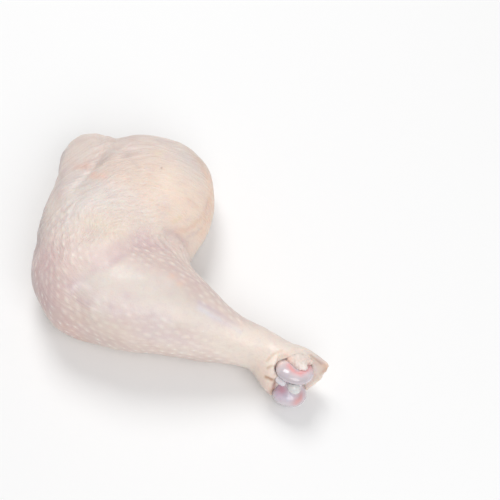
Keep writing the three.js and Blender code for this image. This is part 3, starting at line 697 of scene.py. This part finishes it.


# Colours of the skin: its own, and the patches that are laid over it in turn. Most are its own tones
# as they look in even light; a few are painted shade or painted light, marked where they stand.
# Each is sRGB, strength, half width, where

SKIN = (236, 221, 210)
PATCHES = [
    ((229, 212, 202), 0.8, 10, [(-42, 55, 24), (-28, 52, 33), (-12, 50, 33)]),
    ((224, 206, 198), 0.7, 5, [(-31, 48, 35), (-26, 43, 39), (-13, 43.5, 38.5)]),
    ((212, 193, 186), 0.6, 2.4, [(-38.3, 37.3, 38.2), (-34.1, 41.5, 37.7), (-29.9, 45.4, 36.8)]),
    ((208, 192, 186), 0.55, 1.8, [(-23.5, 39.2, 40.9), (-21.5, 40, 40.6)]),
    ((216, 201, 194), 0.55, 1.5, [(-17.6, 31.4, 42.1), (-16, 28.8, 42.1)]),
    ((228, 192, 178), 0.8, 2, [(-43, 34.5, 37.2), (-41.6, 34, 38), (-38.6, 34.6, 38.6)]),
    ((228, 205, 196), 0.6, 4, [(-50, 45, 30), (-46, 33, 36)]),
    ((208, 189, 181), 0.75, 5, [(-30, 55, 29), (-22, 54, 31)]),
    ((216, 200, 192), 0.5, 4, [(-46, 57, 27)]),
    ((206, 190, 184), 0.6, 2.5, [(-14, 54.5, 31), (-8.8, 53, 33), (-3, 51.5, 32)]),
    # The next two darken the thigh's left roll, which turns away from the light: painted shade.
    ((204, 184, 178), 0.7, 4, [(-53, 36, 31), (-53, 28, 32)]),
    ((206, 188, 182), 0.6, 4, [(-53, 26, 33), (-51.5, 18, 36.5)]),
    ((227, 219, 215), 0.8, 10, [(-44, 28, 37), (-28, 19, 42.7), (-37, 16, 41), (-46, 8, 39)]),
    ((224, 214, 209), 0.8, 7, [(2.7, 44.6, 33.4), (9, 36, 31)]),
    ((230, 213, 195), 0.8, 7, [(-36, 2.7, 40.7), (-26, -1, 40)]),
    ((221, 198, 184), 0.65, 9, [(-30, 32, 41), (-22, 28, 42.5), (-14, 31, 42)]),
    ((216, 198, 189), 0.6, 6, [(-35, -5, 41), (-35, -14, 41), (-28, -13, 41.4)]),
    ((246, 225, 208), 0.9, 13, [(-6, 24, 40), (5, 17, 34), (4, 10, 28)]),
    ((226, 203, 188), 0.5, 5, [(-24, 24, 43), (-14, 25, 42)]),
    ((248, 233, 220), 0.5, 3, [(-9, 17, 40), (-5.5, 16, 39)]),
    ((222, 192, 168), 0.55, 4, [(9, 46, 27)]),
    ((214, 194, 186), 0.45, 4, [(-15.5, 6, 39)]),
    ((214, 196, 190), 0.4, 4, [(2, -10, 31.5)]),
    ((214, 191, 173), 0.7, 5, [(2, 52, 26), (8, 47, 26), (12, 40, 25)]),
    ((252, 216, 190), 0.85, 7, [(13, 37, 23), (15, 24, 22), (14, 14, 20)]),
    ((235, 190, 173), 0.7, 1.9, [(-37.4, 28.9, 39.9), (-35.6, 27.7, 40.9), (-32.2, 27, 42)]),
    ((234, 194, 178), 0.6, 2, [(-46, 36.6, 35.2), (-41, 36.2, 37.8)]),
    ((204, 190, 184), 0.6, 2.6, [(-35.9, 36.3, 38.7), (-32.4, 37.3, 39.7), (-29.6, 42.4, 38.4)]),
    ((186, 168, 161), 0.35, 0.9, [(-34, 35.6, 39.6), (-31.6, 38.4, 39.6)]),
    ((196, 180, 174), 0.55, 1.6, [(-24, 38.2, 41.1), (-22.4, 38.9, 40.9)]),
    ((210, 192, 184), 0.5, 1, [(-19.7, 34.8, 41.7), (-18.2, 33.4, 41.9), (-16.6, 30.8, 42)]),
    ((236, 204, 184), 0.5, 1.1, [(4.7, 19.8, 34.7), (8.6, 18.1, 30.8)]),
    ((234, 214, 176), 0.45, 1.1, [(-1.6, 8, 34.2), (1.4, 11.2, 33.4)]),
    ((204, 184, 186), 0.55, 1.4, [(-4.9, 3.8, 33.4), (-0.7, 4.2, 30.5), (4.2, 3.3, 23.6)]),
    ((250, 236, 224), 0.5, 1, [(6.4, 6.7, 23.3), (8.5, 10.1, 24.5)]),
    ((242, 224, 196), 0.5, 3, [(-9.5, 42.1, 38.4)]),
    # The next four darken the thigh's left side towards its outline, where the surface turns away from the
    # light: painted shade.
    ((205, 188, 186), 0.75, 8, [(-60, 15, 20), (-63, -5, 16), (-60, -22, 16)]),
    ((176, 164, 164), 0.7, 5, [(-55, 54, 22), (-60, 34, 24)]),
    ((142, 126, 128), 0.8, 6, [(-61, 24, 24), (-62, 10, 27), (-63, 0, 27)]),
    ((190, 168, 170), 0.6, 5, [(-64, -4, 23), (-63, -18, 19)]),
    ((212, 177, 181), 0.75, 10, [(-54, -10, 32), (-52, -27, 28), (-46, -34, 20)]),
    ((202, 160, 163), 0.5, 4, [(-59, -14, 27), (-58, -22, 26), (-57, -27, 23)]),
    ((208, 176, 160), 0.65, 5,
     [(-57, -31, 14), (-49, -41, 12), (-38, -47, 10), (-25, -50, 9), (-12, -52, 9)]),
    ((208, 165, 138), 0.65, 4, [(-42, -38, 11), (-35, -45, 12)]),
    ((226, 203, 200), 0.7, 5,
     [(-42.4, -26.1, 37.1), (-31.9, -18, 40.6), (-22.2, -9, 39.3), (-14, -3.4, 36.5)]),
    ((208, 184, 184), 0.7, 5, [(-20, -8.4, 39), (-12, -6.5, 37), (-5.5, -5, 34)]),
    ((208, 180, 185), 0.75, 2.2,
     [(-42.4, -26.1, 37.1), (-36.9, -23.9, 39.2), (-31.9, -20.8, 40.6), (-26.6, -17.6, 41.1),
      (-22.2, -13.7, 40.3), (-17.5, -7.9, 38.2), (-12.6, -4.8, 36.5)]),
    ((214, 193, 189), 0.5, 3.5, [(-33, -14, 41), (-30, -16, 41)]),
    ((206, 184, 187), 0.45, 3.5, [(-15.5, -2.5, 37)]),
    ((218, 199, 196), 0.5, 5, [(-3, 1.5, 30), (2, 1.5, 25)]),
    ((240, 220, 206), 0.6, 4, [(6, 6, 24), (7.4, 3.5, 19)]),
    ((230, 221, 213), 0.85, 8, [(-35, -27.5, 39), (-22, -25, 42), (-5, -31, 40), (15, -40, 32)]),
    ((212, 201, 195), 0.55, 5, [(-15, -23, 42), (-7, -26, 41), (3, -32, 38.5)]),
    ((220, 209, 203), 0.5, 4, [(-14, -34, 40)]),
    ((228, 204, 206), 0.4, 3, [(-43, -26, 37), (-40, -25, 38)]),
    ((246, 234, 233), 0.6, 1.3,
     [(-42.4, -27.5, 36.6), (-40.6, -25.8, 37.8), (-38, -26.2, 38.2), (-35, -28, 38.3)]),
    ((216, 200, 189), 0.5, 2, [(-38, -29.6, 37.2), (-34, -33, 37)]),
    ((250, 240, 236), 0.7, 1.2, [(-33.4, -36.2, 34.6), (-30.6, -36.2, 35.6)]),
    ((248, 238, 236), 0.6, 1.4, [(-26.4, -37.4, 36.2), (-24, -38.4, 35.8)]),
    ((232, 208, 194), 0.5, 4, [(-40, -37, 28)]),
    ((226, 208, 206), 0.6, 2.6, [(-16.5, -16.6, 41), (-10.3, -15.8, 39.8)]),
    ((226, 208, 202), 0.6, 4.5, [(-35.8, -32.7, 36.4)]),
    ((242, 230, 228), 0.65, 6, [(-30, -34, 37), (-18, -38, 37), (-5, -41, 34)]),
    ((212, 191, 182), 0.5, 5, [(-34, -42, 22), (-25, -45, 22)]),
    ((216, 199, 204), 0.5, 2, [(-19.2, -32.7, 40.2)]),
    ((216, 199, 204), 0.5, 1.8, [(-25.9, -35.9, 37.4)]),
    ((216, 199, 204), 0.5, 2.2, [(-8.7, -39.5, 36.3)]),
    ((216, 194, 198), 0.5, 1.2, [(-39.4, -31.6, 35), (-36, -33.4, 35.8)]),
    ((210, 184, 176), 0.4, 0.9, [(-38.8, -34, 33.4), (-35.8, -35.4, 33.8)]),
    ((252, 240, 232), 0.7, 1.1, [(-40.3, -34.7, 32)]),
    ((226, 198, 184), 0.6, 5, [(-48, -36, 21), (-42, -39, 18)]),
    ((222, 202, 195), 0.7, 7, [(-40, -44, 10), (-10, -49, 12), (12, -50, 12)]),
    ((216, 196, 190), 0.8, 8, [(-15, -12, 38.5), (0, -17, 37), (16, -27, 30)]),
    ((210, 193, 186), 0.5, 4, [(5, -27, 38), (10, -31, 36)]),
    ((206, 188, 182), 0.4, 4, [(11, -20, 32)]),
    ((234, 198, 176), 0.5, 1.7, [(-0.8, -22.5, 39.3)]),
    ((234, 198, 176), 0.5, 1.7, [(2.6, -25.9, 39.1)]),
    ((212, 196, 188), 0.5, 4, [(14, -25, 28), (24, -31, 25), (34, -37, 22)]),
    ((248, 228, 212), 0.6, 5, [(35, -52, 18), (38, -56, 15)]),
    ((206, 192, 200), 0.7, 1.1, [(10.6, -33, 35.2), (16, -35, 33), (21, -37.2, 30.8), (27, -39.4, 27.8)]),
    ((226, 220, 226), 0.8, 1.3,
     [(11.1, -35.6, 35), (16.1, -37.9, 32.6), (21.1, -39.8, 30), (28, -42, 26.4)]),
    ((234, 221, 220), 0.7, 5, [(-10.6, -44.5, 29.8), (0.6, -46.3, 27), (10, -47.4, 24.6)]),
    ((246, 233, 223), 0.7, 5, [(6, -49.5, 20), (18, -49, 20), (30, -50, 14)]),
    ((247, 235, 224), 0.75, 8, [(27, -46, 25), (35, -47, 24), (44, -50, 24)]),
    ((248, 236, 226), 0.5, 5, [(10, -47, 25), (20, -46, 26)]),
    ((242, 207, 184), 0.6, 1.2, LOBE_EDGE + [(14.4, 33.3, 23.6)]),
    ((240, 214, 196), 0.4, 1.1, [(-13.2, 17.5, 41.4), (-5.8, 12.7, 38.2), (-0.7, 10.4, 34.6)]),
    ((226, 206, 200), 0.5, 1.1, [(11.4, 15, 23.6), (8.1, 9.2, 23.5), (4.6, 5.4, 26)]),
    ((248, 226, 210), 0.7, 4, [(38, -57, 18)]),
    ((235, 213, 200), 0.7, 3, [(40, -61, 13)]),
    ((247, 231, 223), 0.7, 1.1, [(43.3, -53.4, 20.9), (42.2, -55.8, 20.2), (42.2, -57.4, 18.4)]),
    # Lighter along the fold's ridge round the condyle: partly its cream tone, partly a painted highlight on
    # the ridge.
    ((252, 238, 224), 0.8, 1.6,
     [(40, -55.2, 22), (41.6, -53.6, 23.2), (44.2, -51.8, 22.6), (47, -50.8, 22)]),
    ((222, 196, 174), 0.6, 0.7, [(39, -53.4, 21.8), (41.8, -51.1, 23.3), (45.2, -49.6, 23.2)]),
    ((208, 172, 142), 0.7, 0.6, [(39.3, -56.2, 20.6), (40.8, -55.9, 21.5), (42.5, -55.1, 20.4)]),
    ((176, 124, 88), 0.9, 0.75, [(38.7, -58.8, 17.5), (39.8, -59.3, 17.7), (41.2, -59.8, 17.1)]),
    # Dark brown down the crevice left of the lower condyle: painted shade.
    ((140, 92, 78), 0.85, 0.8, [(42.8, -59.6, 16.8), (42.1, -60.9, 14.2), (41.7, -61.4, 10.4)]),
    ((196, 158, 138), 0.7, 1.4, [(41.4, -61.8, 11), (40.6, -62.3, 8.4)]),
    ((240, 200, 184), 0.6, 1.3, [(47, -51.4, 22.8), (48.6, -51.6, 22.6)]),
    ((244, 206, 176), 0.85, 2.2, [(63, -53.8, 18.4), (64.6, -54.2, 18)]),
    ((180, 124, 84), 0.85, 0.9, [(64.4, -54.7, 16.9), (63, -55, 14.6), (61.7, -55.3, 12.4)]),
    ((248, 234, 220), 0.8, 3.5, [(60.5, -54.4, 15), (60.4, -55.8, 10), (58, -57, 7)]),
    ((250, 246, 244), 0.7, 1.2, [(59.5, -52.6, 15.4), (60, -53.6, 13.7)]),
    ((252, 240, 228), 0.8, 2, [(57, -50.6, 19.8), (60.3, -52.2, 18.6)]),
    ((204, 178, 160), 0.7, 0.7, [(57.7, -50.2, 20.2), (60.3, -51.9, 18.9), (61.9, -53.1, 18.4)]),
    ((206, 196, 194), 0.6, 1.4, [(55.6, -48.7, 21.2), (59.8, -50, 20.6), (62.7, -52.7, 20.2)]),
    ((130, 106, 94), 0.7, 0.45, [(-7.1, 32.6, 39.9)]),
]


def linear(colour):
    c = np.array(colour, float) / 255
    return np.where(c <= 0.04045, c / 12.92, ((c + 0.055) / 1.055) ** 2.4)


# The lights show a surface this much brighter than it is
HEADROOM = 1.02


def patched(points, base, patches):
    """Colour of each point: a base with soft patches laid over it in turn."""
    colours = np.tile(linear(base), (len(points), 1))
    for colour, strength, half, path in patches:
        weight = strength * np.exp(-(path_distance(points, path) / half) ** 2)
        colours += weight[:, None] * (linear(colour) - colours)
    return colours / HEADROOM


# Meshes and pieces

def make_mesh(name, points, faces):
    mesh = bpy.data.meshes.new(name)
    mesh.vertices.add(len(points))
    mesh.vertices.foreach_set("co", ((points + CENTRE) * MM).ravel())
    mesh.loops.add(faces.size)
    mesh.loops.foreach_set("vertex_index", faces.ravel().astype(np.int32))
    mesh.polygons.add(len(faces))
    mesh.polygons.foreach_set("loop_start", np.arange(0, faces.size, 4, dtype=np.int32))
    mesh.update(calc_edges=True)
    mesh.polygons.foreach_set("use_smooth", np.ones(len(faces), bool))
    return mesh


def paint(mesh, colours, masks):
    tint = mesh.attributes.new("tint", "FLOAT_COLOR", "POINT")
    tint.data.foreach_set("color", np.hstack([colours, np.ones((len(colours), 1))]).ravel())
    for name, values in masks.items():
        kind, key = ("FLOAT_VECTOR", "vector") if values.ndim == 2 else ("FLOAT", "value")
        layer = mesh.attributes.new(name, kind, "POINT")
        layer.data.foreach_set(key, values.ravel())


def add_object(name, data):
    thing = bpy.data.objects.new(name, data)
    bpy.context.scene.collection.objects.link(thing)
    return thing


def add_piece(name, mesh, material, node, slot):
    piece = add_object(name, mesh)
    mesh.materials.append(material)
    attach(piece, "root")
    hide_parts(node)


# Materials

class Nodes:
    """Short ways to add and join a material's nodes."""

    def __init__(self, name):
        self.material = bpy.data.materials.new(name)
        self.material.use_nodes = True
        self.tree = self.material.node_tree
        self.shader = self.tree.nodes["Principled BSDF"]

    def add(self, kind, inputs, **settings):
        node = self.tree.nodes.new("ShaderNode" + kind)
        for key, value in settings.items():
            setattr(node, key, value)
        for key, value in inputs.items():
            self.set(node.inputs[key], value)
        return node

    def set(self, socket, value):
        if isinstance(value, bpy.types.NodeSocket):
            self.tree.links.new(value, socket)
        else:
            socket.default_value = value

    def shade(self, inputs):
        for key, value in inputs.items():
            self.set(self.shader.inputs[key], value)

    def attribute(self, name, output="Fac"):
        return self.add("Attribute", {}, attribute_name=name).outputs[output]

    def place(self):
        """Object coordinates in millimetres."""
        coordinates = self.add("TexCoord", {}).outputs["Object"]
        return self.add("VectorMath", {0: coordinates, 3: 1 / MM}, operation="SCALE").outputs[0]

    def stretched(self, vector, scale, degrees):
        """Grain coordinates leaned by an angle and scaled apart along and across."""
        inputs = {"Vector": vector, "Angle": math.radians(degrees)}
        leaned = self.add("VectorRotate", inputs, rotation_type="Z_AXIS").outputs["Vector"]
        return self.add("VectorMath", {0: leaned, 1: scale}, operation="MULTIPLY").outputs[0]

    def noise(self, vector, scale, detail, roughness):
        inputs = {"Vector": vector, "Scale": scale, "Detail": detail, "Roughness": roughness}
        return self.add("TexNoise", inputs).outputs["Fac"]

    def math(self, operation, first, second):
        return self.add("Math", {0: first, 1: second}, operation=operation).outputs[0]

    def times(self, first, second):
        return self.math("MULTIPLY", first, second)

    def between(self, value, start, end, low=0.0, high=1.0):
        inputs = {"Value": value, "From Min": start, "From Max": end, "To Min": low, "To Max": high}
        return self.add("MapRange", inputs, interpolation_type="SMOOTHSTEP").outputs["Result"]

    def mix(self, factor, first, second):
        return self.add("MixRGB", {"Fac": factor, 1: first, 2: second}).outputs[0]

    def bump(self, height, distance, strength):
        inputs = {"Height": height, "Distance": distance, "Strength": strength}
        return self.add("Bump", inputs).outputs["Normal"]


def rgba(colour):
    return (*(linear(colour) / HEADROOM), 1.0)


# Clouds in the skin: how often they come, detail, roughness
CLOUDS = {"broad": (0.11, 3.0, 0.6), "middle": (0.38, 3.0, 0.6), "fine": (1.5, 2.0, 0.5)}

# How they colour it: the cloud, the values of it where the colour sets in and is full, strength
MOTTLING = [
    ("broad", 0.42, 0.72, 0.2, (222, 194, 190)),
    ("broad", 0.55, 0.25, 0.25, (242, 229, 214)),
    ("middle", 0.5, 0.72, 0.2, (217, 199, 204)),
    ("fine", 0.5, 0.75, 0.12, (210, 182, 174)),
]

# Fine lines in it: grain and mask, how often they come, lean in degrees, height in the bump, and
# for the pale and the dark ones the same values as for the clouds
FINE_LINES = [
    ("thigh_grain", "wrinkled", (1.3, 0.14, 0.14), 8, 1.2,
     (0.52, 0.66, 0.23, (252, 244, 238)), (0.45, 0.33, 0.22, (206, 178, 168))),
    ("thigh_grain", "wrinkled", (1.8, 0.25, 0.25), -13, 0.9,
     (0.52, 0.66, 0.184, (252, 244, 238)), (0.45, 0.33, 0.176, (206, 178, 168))),
    ("leg_grain", "streaked", (1.0, 0.11, 1.0), 0, 0.9,
     (0.52, 0.66, 0.28, (248, 234, 226)), (0.46, 0.34, 0.2, (204, 174, 170))),
]

# Between the follicles, on them, and the painted highlight where they glint, which is linear
DOT_GROUND = (208, 176, 176)
DOT_DOME = (250, 238, 228)
DOT_PAINTED_GLINT = (0.95, 0.94, 0.92, 1)


def skin_material():
    n = Nodes("raw_skin")
    place = n.place()
    clouds = {name: n.noise(place, *cloud) for name, cloud in CLOUDS.items()}
    colour = n.attribute("tint", "Color")
    for name, start, end, strength, tone in MOTTLING:
        colour = n.mix(n.between(clouds[name], start, end, 0.0, strength), colour, rgba(tone))
    height = n.times(clouds["fine"], 0.3)
    for grain, mask, often, degrees, high, pale, dark in FINE_LINES:
        lines = n.noise(n.stretched(n.attribute(grain, "Vector"), often, degrees), 1.0, 3.0, 0.6)
        shown = n.attribute(mask)
        for start, end, strength, tone in (pale, dark):
            factor = n.times(n.times(n.between(lines, start, end), shown), strength)
            colour = n.mix(factor, colour, rgba(tone))
        ridges = n.times(n.math("SUBTRACT", lines, 0.5), shown)
        height = n.math("ADD", height, n.times(ridges, high))

    dots = n.attribute("dots")
    ground = n.times(n.between(dots, 0.6, 1.9), n.attribute("dotted"))
    domes = n.times(n.between(dots, 1.6, 0.0), n.attribute("domed"))
    glints = n.times(n.between(dots, 0.5, 0.2), n.attribute("painted_glint_share"))
    colour = n.mix(n.times(ground, 0.18), colour, rgba(DOT_GROUND))
    colour = n.mix(n.times(domes, 0.62), colour, rgba(DOT_DOME))
    # White laid into the follicles' cores where they glint: painted highlights.
    colour = n.mix(glints, colour, DOT_PAINTED_GLINT)
    height = n.math("ADD", height, n.times(domes, 0.3))
    n.shade({"Base Color": colour, "Roughness": n.between(clouds["middle"], 0.3, 0.7, 0.34, 0.5),
             "Subsurface Weight": 0.22, "Subsurface Radius": (1.0, 0.45, 0.3), "Subsurface Scale": 0.0022,
             "Specular IOR Level": 0.42, "Coat Weight": 0.12, "Coat Roughness": 0.22,
             "Normal": n.bump(height, 0.0005, 0.8)})
    return n.material


def tissue_material(name, mottle, rough, coat, scale=0.9):
    """Wet tissue or gristle: painted colour, soft mottling and a thin wet coat."""
    n = Nodes(name)
    place = n.place()
    cloud = n.noise(place, scale * 0.4, 3.0, 0.6)
    grain = n.noise(place, scale * 2.2, 2.0, 0.5)
    tint = n.attribute("tint", "Color")
    n.shade({"Base Color": n.mix(n.between(cloud, 0.45, 0.7, 0.0, 0.35), tint, rgba(mottle)),
             "Roughness": n.between(cloud, 0.3, 0.7, rough, rough + 0.1),
             "Subsurface Weight": 0.2, "Subsurface Radius": (1.0, 0.6, 0.5), "Subsurface Scale": 0.0015,
             "Coat Weight": coat, "Coat Roughness": 0.05, "Normal": n.bump(grain, 0.0001, 0.5)})
    return n.material


# The pieces

def make_skin():
    rulers = [ruler(ends, STEP["skin"], close, STEP["hock"]) for ends, close in zip(SPACE, CLOSE)]
    points, faces = surface(flesh, rulers)
    normals = point_normals(points, faces)
    lift, masks = skin_relief(points, normals)
    relieved = points + lift[:, None] * normals
    relieved[:, 2] = np.maximum(relieved[:, 2], 0)
    mesh = make_mesh("skin", relieved, faces)
    paint(mesh, patched(points, SKIN, PATCHES), masks)
    add_piece("skin", mesh, skin_material(), "flesh_and_skin", "skin")


# Colours of the bone, given as the skin's are
BONE = (214, 205, 210)
BONE_PATCHES = [
    ((222, 209, 213), 0.7, 4, [(43.5, -55, 20.4), (46.4, -56.6, 22), (48.6, -60, 22)]),
    ((236, 224, 228), 0.7, 2, [(51.4, -61, 22), (54.6, -59.8, 21), (57, -57, 19)]),
    # Lighter on the upper condyle next to the skin's lip: its pale tone, raised further as painted light
    # against the shade in the cleft.
    ((255, 236, 230), 0.8, 2.3, [(44.2, -53, 19.9), (46.3, -52.4, 20.1)]),
    ((252, 178, 178), 0.95, 1.5,
     [(48.6, -55.6, 21.4), (49.4, -57, 21.6), (50.8, -58.4, 21.7), (52.9, -59.1, 21.4),
      (54.8, -57.2, 19.9), (56.6, -55.2, 18.6), (58, -53.6, 16.5)]),
    ((196, 186, 191), 0.7, 1.9,
     [(45.6, -59.4, 20.6), (48.6, -61.4, 21), (51.6, -62.4, 20.4), (54.5, -61.2, 19.6)]),
    ((214, 200, 208), 0.6, 3, [(58.6, -54, 15), (58, -58, 15)]),
    ((222, 212, 228), 0.7, 2.6, [(46.2, -64.6, 11.8), (49.3, -65.4, 12)]),
    ((222, 194, 214), 0.8, 2.2, [(43.4, -60.8, 12.2), (43.8, -62.9, 11.4), (44.6, -63.6, 10)]),
    ((214, 158, 174), 0.95, 1.9, [(45.0, -61.8, 13), (45.8, -62.6, 12.6)]),
    ((226, 166, 166), 0.9, 2.0, [(54.6, -63.4, 10.2), (53.1, -65.9, 10.1), (51.6, -67, 9.6)]),
    ((196, 180, 192), 0.6, 2.6, [(55.4, -61, 9), (56, -58, 9)]),
]


def make_bare(names, field, rulers, bumps, colour, patches, material):
    """A wet, bare piece. The names are its own, its node's and its slot's; the slot's name is not used."""
    name, node, slot = names
    points, faces = surface(field, rulers)
    lift = uneven(points, bumps)[:, None] * point_normals(points, faces)
    mesh = make_mesh(name, points + lift, faces)
    paint(mesh, patched(points, colour, patches), {})
    add_piece(name, mesh, tissue_material(*material), node, slot)


def make_bone():
    rulers = [ruler(ends, STEP["shaft"], (middle - HOCK_REACH, middle + HOCK_REACH), STEP["knuckle"])
              for ends, middle in zip(BONE_SPACE, HOCK)]
    make_bare(("knuckle", "shin_bone", "bone"), bone, rulers, BONE_BUMPS, BONE, BONE_PATCHES,
              ("wet_bone", (196, 186, 202), 0.1, 0.7))


TENDON_PATCHES = [
    ((240, 200, 184), 0.8, 1.6, [(47.6, -51.6, 21.6), (48.8, -52.4, 21.8)]),
    ((248, 240, 236), 0.8, 2.0, [(53.6, -56.6, 21.6), (54.8, -56.4, 20.8)]),
    ((196, 116, 112), 0.8, 0.5, [(56.2, -55.4, 20.6), (57.2, -53.6, 19.6)]),
]

# Bits of tissue: names, lumps, height of the bumps, colour, patches, and the material's name,
# mottling, roughness, coat and scale
TISSUES = [
    (("tendon", "tendon_scrap", "tendon"), TENDON_LUMPS, 0.4, (236, 222, 213), TENDON_PATCHES,
     ("moist_tendon", (230, 204, 192), 0.38, 0.2, 1.8)),
    (("cartilage", "cartilage_pad", "cartilage"), CARTILAGE_LUMPS, 0.14, (226, 224, 223), [],
     ("wet_cartilage", (208, 208, 212), 0.22, 0.5)),
    (("ligament_strip", "ligament", "ligament"), LIGAMENT_LUMPS, 0.12, (231, 226, 230), [],
     ("moist_ligament", (214, 206, 213), 0.26, 0.4)),
]


def lumps_field(lumps):
    def field(points):
        q = at_hock(points)
        distance = oval(q, lumps[0])
        for lump in lumps[1:]:
            distance = melt(distance, oval(q, lump), TISSUE_MELT)
        return np.maximum(distance, np.maximum(TISSUE_GAP - bone(points), TISSUE_GAP - flesh(points)))
    return field


def make_tissue(names, lumps, height, colour, patches, material):
    middles = [from_hock(middle) for middle, _ in lumps]
    low, high = np.min(middles, axis=0) - TISSUE_REACH, np.max(middles, axis=0) + TISSUE_REACH
    rulers = [ruler((a, b), STEP["tissue"], (a, a), STEP["tissue"]) for a, b in zip(low, high)]
    bumps = [(height * high, often, seed) for high, often, seed in TISSUE_BUMPS]
    make_bare(names, lumps_field(lumps), rulers, bumps, colour, patches, material)


# Floor, light and camera

def make_stage():
    half = FLOOR["half"]
    corners = [(x * half, y * half, -FLOOR["under"]) for x, y in ((-1, -1), (1, -1), (1, 1), (-1, 1))]
    mesh = bpy.data.meshes.new("floor")
    mesh.from_pydata(corners, [], [(0, 1, 2, 3)])
    floor = add_object("floor", mesh)
    n = Nodes("pale_floor")
    n.shade({"Base Color": (0.93, 0.93, 0.93, 1), "Roughness": 0.9})
    mesh.materials.append(n.material)


def make_lights():
    for name, place, width, watts in LIGHTS:
        light = bpy.data.lights.new(name, "AREA")
        light.shape = "DISK"
        light.size = width
        light.energy = watts
        lamp = add_object(name, light)
        lamp.location = place
        lamp.rotation_euler = (-Vector(place)).to_track_quat("-Z", "Y").to_euler()
    world = bpy.data.worlds.new("studio")
    world.use_nodes = True
    background = world.node_tree.nodes["Background"].inputs
    background["Color"].default_value = (1, 1, 1, 1)
    background["Strength"].default_value = WORLD_LIGHT
    bpy.context.scene.world = world


def make_camera():
    tilt = math.radians(VIEW["elevation"])
    back = Vector((0, -math.cos(tilt), math.sin(tilt)))
    aim = Vector(VIEW["aim"]) + Vector(CENTRE)
    data = bpy.data.cameras.new("camera")
    data.lens = VIEW["lens"]
    data.sensor_width = VIEW["sensor"]
    data.clip_start = 0.01
    camera = add_object("camera", data)
    camera.location = (aim + back * VIEW["distance"]) * MM
    camera.rotation_euler = (-back).to_track_quat("-Z", "Y").to_euler()
    bpy.context.scene.camera = camera


def main():
    make_skin()
    make_bone()
    for tissue in TISSUES:
        make_tissue(*tissue)
    make_stage()
    make_lights()
    make_camera()
    bpy.context.scene.view_settings.view_transform = "Standard"


main()
